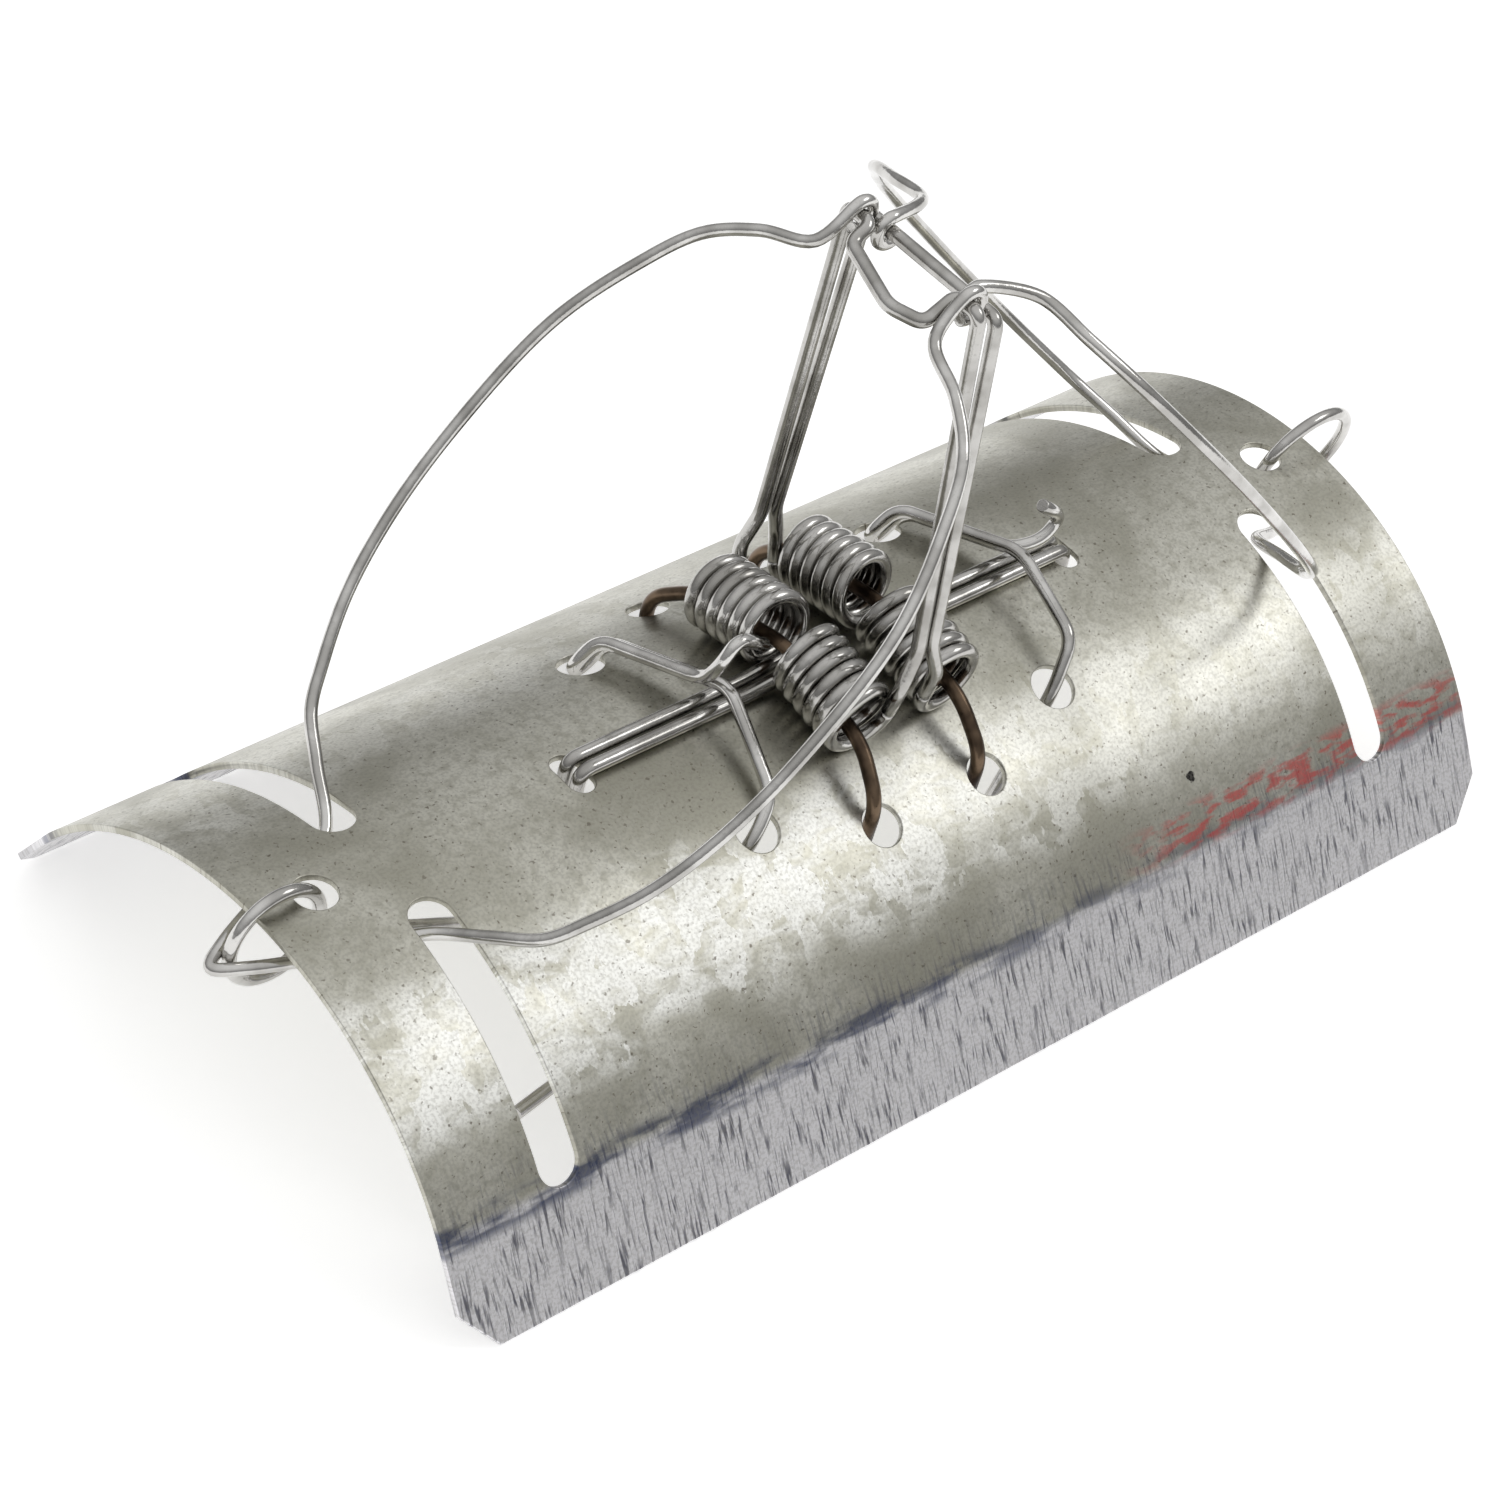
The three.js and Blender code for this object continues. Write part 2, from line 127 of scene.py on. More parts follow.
# Loops.
EYE_RADIUS = (SPRING_WIRE + LOOP_WIRE) / 2 + GAP / 2
EYE_Y = {"left": 8, "right": 6.2}
EYE_OPEN_END = 300
EYE_LEAVE = {"left": 53, "right": 80}
HOOP_TOP = (4.8, 82.1)
HOOP_FOOT = (60.4, 24.2)
FRONT_BULGE = {"left": 0, "right": 0.3}
TONGUE = {"left": (19.7, math.radians(3)), "right": (21, math.radians(25))}
HOOP_OUTLINE = (
    (3.6, 8.8), (6.4, 14.5), (10.4, 19.5), (17, 23), (27, 26.3), (41, 27.1),
    (52, 26.3), (61, 24.2), (68, 21), (72, 18.6), (75.5, 14), (80, 8),
)
TONGUE_ROOT = (5, 6.5)
TONGUE_TIP = (3, 2)

# Catches: their wires' corners are given as (y, above the pivot), with the catch upright.
CATCH_PIVOT_Z = 24.3
CATCH_LEAN = {"left": math.radians(-33), "right": math.radians(38)}
TRIGGER_LENGTH = 26
TRIGGER_SPLAY = math.radians(8)
TRIGGER_END_Y = -16.5
FOOT_LENGTH = 15
FOOT_TURN = -0.17
CATCH_STRAND = 0.85
CATCH_PIVOT = (-14.4, 0)
CATCH_FRONT = {"left": (-12.7, 3.8), "right": (-12.8, 5.7)}
CATCH_CROWN = (-1.5, 9.2)
CATCH_BACK = (13.8, 3.8)
CATCH_RETURN = (14.6, -0.6)
HOOK_ROOT = (0.6, 8.4)
HOOK_BOTTOM = (-1, 11.2)
HOOK_TOP = (-1, 14.6)
HOOK_HALF_WIDTH = 2.5

# Latch bars. The ring's angles are measured from the bar.
LATCH_LENGTH = 50
LATCH_CENTRE = {"left": (72.4, 0, 23.7), "right": (74.9, -0.6, 25.1)}
RING_RADIUS = {"left": 5.5, "right": 6.7}
LATCH_LEAN = {"left": 0, "right": math.radians(10.5)}
LATCH_DIP = {"left": math.radians(25), "right": math.radians(29)}
RING_END = 345
RING_START = 22
RING_STEM = 2.2

# Where the sheet's marks, its painted highlight band and its painted dark crease reflection lie, along the
# barrel and by girth.
HIGHLIGHT_GIRTHS = (16, 26)
HIGHLIGHT_FADE = (-20, 30)
CREASE_REFLECTION_GIRTHS = (CREASE_GIRTH - 0.6, CREASE_GIRTH + 0.9)
CREASE_REFLECTION_FADE = (-30, 40)
SCRATCH_REACH = (CREASE_GIRTH - 7, CREASE_GIRTH + 2)
SCUFF_GIRTHS = (-36.5, -34)
SCUFF_ALONG = (32, 70)
FLECK = (33.2, -29.6, 0.4)

# Colours of the sheet, in linear light.
OLIVE_GREY = (0.40, 0.39, 0.325)
ZINC_GREY = (0.64, 0.63, 0.56)
# White of the spangle crystals in the painted highlight band.
SPANGLE_HIGHLIGHT_WHITE = (0.90, 0.90, 0.86)
SPECK_BROWN = (0.14, 0.12, 0.09)
GRAIN_GREY = (0.26, 0.25, 0.22)
FLECK_BLACK = (0.02, 0.02, 0.02)
# Lavender grey of the floor, painted on the flanges as its reflection.
FLANGE_REFLECTION_GREY = (0.86, 0.85, 0.89)
SCRATCH_GREY = (0.15, 0.15, 0.18)
# Dark blue of the painted reflection along each crease.
CREASE_REFLECTION_BLUE = (0.05, 0.065, 0.13)
SCUFF_RED = (0.70, 0.07, 0.07)

# Camera, in millimetres: the turn takes world axes to its right, down and forward axes.
SENSOR_WIDTH = 36
LENS = 116.6844
LENS_SHIFT = (-0.0554, 0.052733)
CAMERA_TURN = (2.269, -0.762, 0.588)
CAMERA_OFFSET = (-6.309, 1.202, 531.96)

# Light: sizes and distances in metres, powers in watts.
SKY_HEIGHTS = (0.05, 0.95)
SKY_BRIGHTNESS = (0.3, 0.8)
FLOOR_HALF = 3
FLOOR_DROP = 0.0002
FLOOR_WHITE = 0.93
FLOOR_GLOW = 0.5
KEY_SLOPE = math.radians(29)
KEY_AIM = (0, 0, 0.02)
KEY_DISTANCE = 0.9
KEY_SIZE = (0.38, 0.3)
KEY_POWER = 0.85


def place(hand, out, y, z):
    return Vector((ENDS[hand] * out, y, z))


# ---------------------------------------------------------------- camera, floor and light

def add_camera():
    """The photograph's view: a long lens, with a little shift for its off-centre framing."""
    data = bpy.data.cameras.new("camera")
    camera = bpy.data.objects.new("camera", data)
    bpy.context.scene.collection.objects.link(camera)
    bpy.context.scene.camera = camera
    data.sensor_width = SENSOR_WIDTH
    data.lens = LENS
    data.shift_x, data.shift_y = LENS_SHIFT
    data.clip_start = 0.01
    data.clip_end = 50
    turn = Vector(CAMERA_TURN)
    right_down_forward = Quaternion(turn.normalized(), turn.length).to_matrix().transposed()
    centre = -(right_down_forward @ Vector(CAMERA_OFFSET)) * MM
    to_blender = Matrix(((1, 0, 0), (0, -1, 0), (0, 0, -1)))
    camera.matrix_world = Matrix.Translation(centre) @ (right_down_forward @ to_blender).to_4x4()
    return camera


def add_surroundings():
    """A studio that is bright overhead and dimmer towards the horizon."""
    world = bpy.data.worlds.new("studio")
    bpy.context.scene.world = world
    world.use_nodes = True
    tree = world.node_tree
    direction = tree.nodes.new("ShaderNodeTexCoord").outputs["Generated"]
    split = tree.nodes.new("ShaderNodeSeparateXYZ")
    brightness = tree.nodes.new("ShaderNodeMapRange")
    brightness.interpolation_type = "SMOOTHSTEP"
    brightness.inputs["From Min"].default_value = SKY_HEIGHTS[0]
    brightness.inputs["From Max"].default_value = SKY_HEIGHTS[1]
    brightness.inputs["To Min"].default_value = SKY_BRIGHTNESS[0]
    brightness.inputs["To Max"].default_value = SKY_BRIGHTNESS[1]
    tree.nodes["Background"].inputs["Color"].default_value = (1, 1, 1, 1)
    tree.links.new(direction, split.inputs[0])
    tree.links.new(split.outputs["Z"], brightness.inputs["Value"])
    tree.links.new(brightness.outputs[0], tree.nodes["Background"].inputs["Strength"])


def add_floor():
    """A light table: a white floor with a faint glow of its own."""
    mesh = bpy.data.meshes.new("floor")
    half = FLOOR_HALF
    corners = [(-half, -half, 0), (half, -half, 0), (half, half, 0), (-half, half, 0)]
    mesh.from_pydata(corners, [], [(0, 1, 2, 3)])
    floor = bpy.data.objects.new("floor", mesh)
    bpy.context.scene.collection.objects.link(floor)
    floor.location.z = -FLOOR_DROP
    material = bpy.data.materials.new("floor")
    material.use_nodes = True
    shader = material.node_tree.nodes["Principled BSDF"]
    shader.inputs["Base Color"].default_value = (FLOOR_WHITE, FLOOR_WHITE, FLOOR_WHITE, 1)
    shader.inputs["Roughness"].default_value = 0.9
    shader.inputs["Specular IOR Level"].default_value = 0.1
    shader.inputs["Emission Color"].default_value = (1, 1, 1, 1)
    shader.inputs["Emission Strength"].default_value = FLOOR_GLOW
    mesh.materials.append(material)


def add_key_light(camera):
    """A soft light that the camera sees reflected in the barrel's front slope."""
    normal = Vector((0, -math.sin(KEY_SLOPE), math.cos(KEY_SLOPE)))
    towards_camera = camera.matrix_world.translation.normalized()
    direction = normal * (2 * normal.dot(towards_camera)) - towards_camera
    data = bpy.data.lights.new("key", "AREA")
    data.energy = KEY_POWER
    data.shape = "RECTANGLE"
    data.size, data.size_y = KEY_SIZE
    light = bpy.data.objects.new("key", data)
    bpy.context.scene.collection.objects.link(light)
    light.location = Vector(KEY_AIM) + direction * KEY_DISTANCE
    light.rotation_euler = (-direction).to_track_quat("-Z", "Y").to_euler()


# ---------------------------------------------------------------- wires

def bent(corners, reach, steps=8):
    """Points of a wire that runs straight between corners and bends smoothly at each one."""
    def step_along(corner, neighbour):
        leg = neighbour - corner
        return corner + leg.normalized() * min(reach, leg.length * 0.45)

    points = [corners[0]]
    for before, corner, after in zip(corners, corners[1:], corners[2:]):
        start = step_along(corner, before)
        end = step_along(corner, after)
        for i in range(steps + 1):
            t = i / steps
            points.append(start.lerp(corner, t).lerp(corner.lerp(end, t), t))
    points.append(corners[-1])
    return points


def smooth(points, steps_per_span):
    """A centripetal Catmull-Rom curve through the points."""
    first = points[0] * 2 - points[1]
    last = points[-1] * 2 - points[-2]
    padded = [first, *points, last]
    result = []
    for a, b, c, d in zip(padded, padded[1:], padded[2:], padded[3:]):
        knots = [0.0]
        for p, q in ((a, b), (b, c), (c, d)):
            knots.append(knots[-1] + math.sqrt((q - p).length))
        for i in range(steps_per_span):
            t = knots[1] + (knots[2] - knots[1]) * i / steps_per_span
            result.append(catmull_rom(a, b, c, d, knots, t))
    result.append(points[-1])
    return result


def catmull_rom(a, b, c, d, knots, t):
    def between(p, q, start, end):
        return p.lerp(q, (t - start) / (end - start))

    first = between(a, b, knots[0], knots[1])
    second = between(b, c, knots[1], knots[2])
    third = between(c, d, knots[2], knots[3])
    early = between(first, second, knots[0], knots[2])
    late = between(second, third, knots[1], knots[3])
    return between(early, late, knots[1], knots[2])


def both_sides(half, middle=()):
    """Joins a back half to its mirror image in front."""
    mirrored = [Vector((p.x, -p.y, p.z)) for p in half]
    return [*half, *middle, *reversed(mirrored)]


def tangents_along(points):
    last = len(points) - 1
    tangents = []
    for i, point in enumerate(points):
        arriving = (point - points[max(i - 1, 0)]).normalized()
        leaving = (points[min(i + 1, last)] - point).normalized()
        tangents.append((arriving + leaving).normalized())
    return tangents


def wire_rings(points, radius, nick):
    """Each ring's centre, tangent and radius. The cut ends narrow by nick."""
    tangents = tangents_along(points)
    start, end = points[0], points[-1]
    first, last = tangents[0], tangents[-1]
    return [
        (start, first, radius - nick),
        (start + first * nick, first, radius),
        *((point, tangent, radius) for point, tangent in zip(points[1:-1], tangents[1:-1])),
        (end - last * nick, last, radius),
        (end, last, radius - nick),
    ]


def sweep(name, points, diameter, sides=20, nick=0.12):
    """A round wire along the points, with its cut ends slightly rounded over."""
    rings = wire_rings(points, diameter / 2, nick)
    up = rings[0][1].orthogonal().normalized()
    work = bmesh.new()
    loops = []
    for centre, tangent, radius in rings:
        up = (up - tangent * up.dot(tangent)).normalized()
        across = tangent.cross(up)
        loop = []
        for side in range(sides):
            angle = 2 * math.pi * side / sides
            spoke = (up * math.cos(angle) + across * math.sin(angle)) * radius
            loop.append(work.verts.new((centre + spoke) * MM))
        loops.append(loop)
    for loop, following in zip(loops, loops[1:]):
        for side in range(sides):
            after = (side + 1) % sides
            face = work.faces.new((loop[side], loop[after], following[after], following[side]))
            face.smooth = True
    work.faces.new(list(reversed(loops[0])))
    work.faces.new(loops[-1])
    work.normal_update()
    mesh = bpy.data.meshes.new(name)
    work.to_mesh(mesh)
    work.free()
    wire = bpy.data.objects.new(name, mesh)
    bpy.context.scene.collection.objects.link(wire)
    return wire


def finish_piece(piece, material, slot, body, *nodes):
    piece.data.materials.append(material)
    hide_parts(*nodes)
    if body:
        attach(piece, body)


# ---------------------------------------------------------------- barrel

def sheet_point(x, girth, depth):
    """A point of the bent sheet, depth below its outer face."""
    side = -1 if girth < 0 else 1
    distance = abs(girth)
    if distance <= CREASE_GIRTH:
        angle = distance / CROWN_RADIUS
        radius = CROWN_RADIUS - depth
        return Vector((x, side * radius * math.sin(angle), CROWN_CENTRE_Z + radius * math.cos(angle)))
    past = distance - CREASE_GIRTH
    y = CROWN_RADIUS * math.sin(CROWN_HALF_ANGLE) + past * math.cos(FLANGE_SLOPE)
    z = CROWN_CENTRE_Z + CROWN_RADIUS * math.cos(CROWN_HALF_ANGLE) - past * math.sin(FLANGE_SLOPE)
    y -= depth * math.sin(FLANGE_SLOPE)
    z -= depth * math.cos(FLANGE_SLOPE)
    return Vector((x, side * y, z))


def sheet_normal(girth):
    """The outer face's normal, which turns smoothly across each crease."""
    side = -1 if girth < 0 else 1
    distance = abs(girth)
    angle = min(distance / CROWN_RADIUS, CROWN_HALF_ANGLE)
    past = (distance - CREASE_GIRTH + CREASE_HALF) / (2 * CREASE_HALF)
    share = min(max(past, 0), 1)
    angle += (FLANGE_SLOPE - CROWN_HALF_ANGLE) * share
    return Vector((0, side * math.sin(angle), math.cos(angle)))


def outline_circle(x, girth, diameter, steps=40):
    radius = diameter / 2
    return [
        (x + radius * math.cos(2 * math.pi * i / steps), girth + radius * math.sin(2 * math.pi * i / steps))
        for i in range(steps)
    ]


def outline_slot(x, girths, width, steps=20):
    """A slot along the girth, with round ends."""
    low, high = sorted(girths)
    radius = width / 2
    points = []
    for centre, start in ((high, 0), (low, math.pi)):
        for i in range(steps + 1):
            angle = start + math.pi * i / steps
            points.append((x + radius * math.cos(angle), centre + radius * math.sin(angle)))
    return points


def barrel_outlines():
    half = BARREL_LENGTH / 2
    cut = CORNER_CUT / math.sin(FLANGE_SLOPE)
    outer = [
        (-half, -EDGE_GIRTH + cut), (-half + CORNER_CUT, -EDGE_GIRTH),
        (half - CORNER_CUT, -EDGE_GIRTH), (half, -EDGE_GIRTH + cut),
        (half, EDGE_GIRTH - cut), (half - CORNER_CUT, EDGE_GIRTH),
        (-half + CORNER_CUT, EDGE_GIRTH), (-half, EDGE_GIRTH - cut),
    ]
    outlines = [outer]
    anchor_straight = (ANCHOR_HOLE_LENGTH - ANCHOR_HOLE_WIDTH) / 2
    for end in ENDS.values():
        outlines.append(outline_circle(end * END_HOLE_OUT, 0, HOLE_DIAMETER))
        outlines.append(outline_slot(
            end * ANCHOR_HOLE_OUT, (-anchor_straight, anchor_straight), ANCHOR_HOLE_WIDTH))
        for side in SIDES.values():
            girths = [side * girth for girth in SLOT_GIRTHS]
            outlines.append(outline_slot(end * SLOT_OUT, girths, SLOT_WIDTH))
            outlines.append(
                outline_circle(end * CATCH_OUT, side * CATCH_HOLE_GIRTH, CATCH_HOLE_DIAMETER))
            outlines.append(outline_circle(end * AXLE_HOLE_OUT, side * AXLE_HOLE_GIRTH, HOLE_DIAMETER))
    return outlines


def flat_sheet():
    """The sheet before bending: X along the barrel, Y the girth, Z the thickness, edges rounded."""
    data = bpy.data.curves.new("barrel_outline", "CURVE")
    data.dimensions = "2D"
    data.fill_mode = "BOTH"
    data.extrude = SHEET / 2 - EDGE_ROUND
    data.bevel_depth = EDGE_ROUND
    data.bevel_resolution = 1
    data.offset = -EDGE_ROUND
    for outline in barrel_outlines():
        spline = data.splines.new("POLY")
        spline.points.add(len(outline) - 1)
        for point, (x, girth) in zip(spline.points, outline):
            point.co = (x, girth, 0, 1)
        spline.use_cyclic_u = True
    helper = bpy.data.objects.new("barrel_outline", data)
    bpy.context.scene.collection.objects.link(helper)
    bpy.context.view_layer.update()
    mesh = bpy.data.meshes.new_from_object(helper.evaluated_get(bpy.context.evaluated_depsgraph_get()))
    bpy.data.objects.remove(helper)
    return mesh


def slice_mesh(work, normal, position):
    geometry = work.verts[:] + work.edges[:] + work.faces[:]
    point = [position * part for part in normal]
    bmesh.ops.bisect_plane(work, geom=geometry, plane_co=point, plane_no=normal, dist=1e-5)


def slice_for_bending(work):
    """Cuts the flat sheet into strips that are narrow enough to follow the crown and the creases."""
    steps = 90
    girths = [CREASE_GIRTH * (2 * i / steps - 1) for i in range(1, steps)]
    for side in SIDES.values():
        girths += [side * CREASE_GIRTH + shift for shift in (-CREASE_HALF, 0, CREASE_HALF)]
    for girth in girths:
        slice_mesh(work, (0, 1, 0), girth)
    spacing = 5
    for i in range(1, int(BARREL_LENGTH / spacing)):
        slice_mesh(work, (1, 0, 0), -BARREL_LENGTH / 2 + i * spacing)


def bent_normal(flat, girth):
    outward = sheet_normal(girth)
    around = Vector((0, outward.z, -outward.y))
    return Vector((flat.x, 0, 0)) + around * flat.y + outward * flat.z


def corner_normals(work):
    """The bent sheet's normal at every face corner, blended only round the sheet's edges."""
    normals = []
    for face in work.faces:
        is_edge = abs(face.normal.z) < 0.999
        for vert in face.verts:
            flat = face.normal
            if is_edge:
                flat = sum((near.normal for near in vert.link_faces), Vector()).normalized()
            normals.append(bent_normal(flat, vert.co.y))
    return normals


def make_barrel():
    mesh = flat_sheet()
    work = bmesh.new()
    work.from_mesh(mesh)
    bmesh.ops.remove_doubles(work, verts=work.verts[:], dist=1e-4)
    slice_for_bending(work)
    bmesh.ops.recalc_face_normals(work, faces=work.faces[:])
    work.normal_update()
    normals = corner_normals(work)
    for vert in work.verts:
        vert.co = sheet_point(vert.co.x, vert.co.y, SHEET / 2 - vert.co.z) * MM
    for face in work.faces:
        face.smooth = True
    work.to_mesh(mesh)
    work.free()
    mesh.normals_split_custom_set(normals)
    mesh.materials.clear()
    barrel = bpy.data.objects.new("barrel_sheet", mesh)
    bpy.context.scene.collection.objects.link(barrel)
    return barrel


# ---------------------------------------------------------------- springs

def coil_point(hand, side, turn):
    angle = 2 * math.pi * turn
    along = turn / COIL_TURNS
    (inner_y, inner_z), (outer_y, outer_z) = COIL_INNER, COIL_OUTER
    tilt = math.atan2(inner_z - outer_z, outer_y - inner_y)
    rise = -COIL_RADIUS * math.cos(angle)
    y = inner_y + (outer_y - inner_y) * along + rise * math.sin(tilt)
    z = inner_z + (outer_z - inner_z) * along + rise * math.cos(tilt)
    return place(hand, COIL_OUT - COIL_RADIUS * math.sin(angle), side * y, z)


def spring_half(hand, side):
    """One anchor leg and its coil, as one wire."""
    y = side * ANCHOR_LEG_Y
    leg = bent([
        place(hand, ANCHOR_HOLE_OUT, y, BARREL_HEIGHT - ANCHOR_LEG_DEPTH),
        place(hand, ANCHOR_HOLE_OUT, y, ANCHOR_LEG_Z),
        place(hand, COIL_OUT + COIL_LEAD, y, ANCHOR_LEG_Z),
        coil_point(hand, side, 0),
    ], SPRING_BEND)[:-1]
    steps_per_turn = 36
    steps = int(COIL_TURNS * steps_per_turn)
    return leg + [coil_point(hand, side, i / steps_per_turn) for i in range(steps + 1)]


def bail_points(hand):
    """The left crossbar's middle bows outwards, and the right one is straight."""
    out, z = CROSSBAR[hand]
    foot = coil_point(hand, SIDES["back"], COIL_TURNS)
    corners = both_sides([
        foot,
        place(hand, COIL_OUT - COIL_RADIUS, foot.y + SPRING_WIRE / 2, foot.z + COIL_RADIUS),
        place(hand, *ARM_BEND),
        place(hand, out, CROSSBAR_Y, z),
    ])
    if hand == "left":
        middle = len(corners) // 2
        corners[middle:middle] = [place(hand, *point) for point in BOW]
    return bent(corners, BAIL_BEND)


def axle_points(hand):
    angle = AXLE_HOLE_GIRTH / CROWN_RADIUS
    hole_y = CROWN_RADIUS * math.sin(angle)
    hole_z = CROWN_CENTRE_Z + CROWN_RADIUS * math.cos(angle)
    hook_out, hook_z = AXLE_HOOK[hand]
    half = [
        place(hand, hook_out, hole_y - AXLE_END_INSET, hole_z - AXLE_END_DEPTH),
        place(hand, hook_out, hole_y - AXLE_HOOK_INSET, hook_z),
        place(hand, *AXLE_SHOULDER),
    ]
    return bent(both_sides(half, [place(hand, *AXLE_MIDDLE)]), AXLE_BEND)


# ---------------------------------------------------------------- loops

def hoop_place(hand, fall, y):
    """Both strands fall in one plane, except that the right one's front strand bulges outwards."""
    (top_out, top_z), (foot_out, foot_z) = HOOP_TOP, HOOP_FOOT
    share = fall / math.hypot(foot_out - top_out, top_z - foot_z)
    bulge = FRONT_BULGE[hand] * math.sin(math.pi * share) if y < 0 else 0
    out = top_out + (foot_out - top_out) * share + bulge
    return place(hand, out, y, top_z + (foot_z - top_z) * share)


def eye_points(hand, side):
    """An open hook over the crossbar, which it leaves towards the hoop."""
    out, z = CROSSBAR[hand]
    steps = 9
    points = []
    for i in range(steps + 1):
        angle = math.radians(EYE_OPEN_END + (EYE_LEAVE[hand] - EYE_OPEN_END) * i / steps)
        points.append(place(
            hand, out + EYE_RADIUS * math.cos(angle), side * EYE_Y[hand],
            z + EYE_RADIUS * math.sin(angle)))
    return points


def loop_points(hand):
    """Below the slots the two strands of the hoop close into a tongue that reaches outwards."""
    reach, slope = TONGUE[hand]
    foot_out, foot_z = HOOP_FOOT

    def tongue_place(distance, y):
        return place(hand, foot_out + distance * math.cos(slope), y, foot_z - distance * math.sin(slope))

    def strand(side):
        root, root_width = TONGUE_ROOT
        short, tip_width = TONGUE_TIP
        points = eye_points(hand, side)
        points += [hoop_place(hand, fall, side * width) for fall, width in HOOP_OUTLINE]
        points += [tongue_place(root, side * root_width), tongue_place(reach - short, side * tip_width)]
        return points

    front = strand(SIDES["front"])
    return smooth([*strand(SIDES["back"]), tongue_place(reach, 0), *reversed(front)], 8)


# ---------------------------------------------------------------- catches and latch bars

def catch_points(hand):
    """One wire: the trigger, over the crown, back under it and up into the hook.

    Corners are (towards the middle, y, above the pivot), and then turned by the catch's lean.
    """
    strand = CATCH_STRAND
    trigger_end = Vector((
        -TRIGGER_LENGTH * math.sin(TRIGGER_SPLAY), TRIGGER_END_Y,
        -TRIGGER_LENGTH * math.cos(TRIGGER_SPLAY)))
    corners = [
        trigger_end,
        Vector((0, *CATCH_PIVOT)),
        Vector((strand, *CATCH_FRONT[hand])),
        Vector((strand, *CATCH_CROWN)),
        Vector((strand, *CATCH_BACK)),
        Vector((strand, *CATCH_RETURN)),
        Vector((-strand, *CATCH_RETURN)),
        Vector((-strand, *CATCH_BACK)),
        Vector((-strand, *HOOK_ROOT)),
        Vector((-HOOK_HALF_WIDTH, *HOOK_BOTTOM)),
        Vector((-HOOK_HALF_WIDTH, *HOOK_TOP)),
        Vector((HOOK_HALF_WIDTH, *HOOK_TOP)),
    ]
    lean = CATCH_LEAN[hand]
    if hand == "left":
        foot = Vector((-math.cos(lean), FOOT_TURN, math.sin(lean)))
        corners.insert(0, trigger_end + foot * FOOT_LENGTH)
    turn = Matrix.Rotation(-lean, 3, "Y")
    placed = []
    for corner in corners:
        turned = turn @ corner
        placed.append(place(hand, CATCH_OUT - turned.x, turned.y, CATCH_PIVOT_Z + turned.z))
    return bent(placed, CATCH_BEND)


def latch_points(hand):
    """The ring, then the straight bar that lies in the tunnel."""
    out, y, z = LATCH_CENTRE[hand]
    lean, dip = LATCH_LEAN[hand], LATCH_DIP[hand]

    def latch_place(distance, angle):
        drop = distance * math.sin(angle)
        return place(
            hand, out - distance * math.cos(angle), y + drop * math.sin(lean), z - drop * math.cos(lean))

    steps = 66
    points = []
    for i in range(steps + 1):
        angle = math.radians(RING_END + (RING_START - RING_END) * i / steps)
        points.append(latch_place(RING_RADIUS[hand], dip + angle))
    points += [latch_place(RING_RADIUS[hand] + RING_STEM, dip), latch_place(LATCH_LENGTH, dip)]
    return points


# ---------------------------------------------------------------- materials

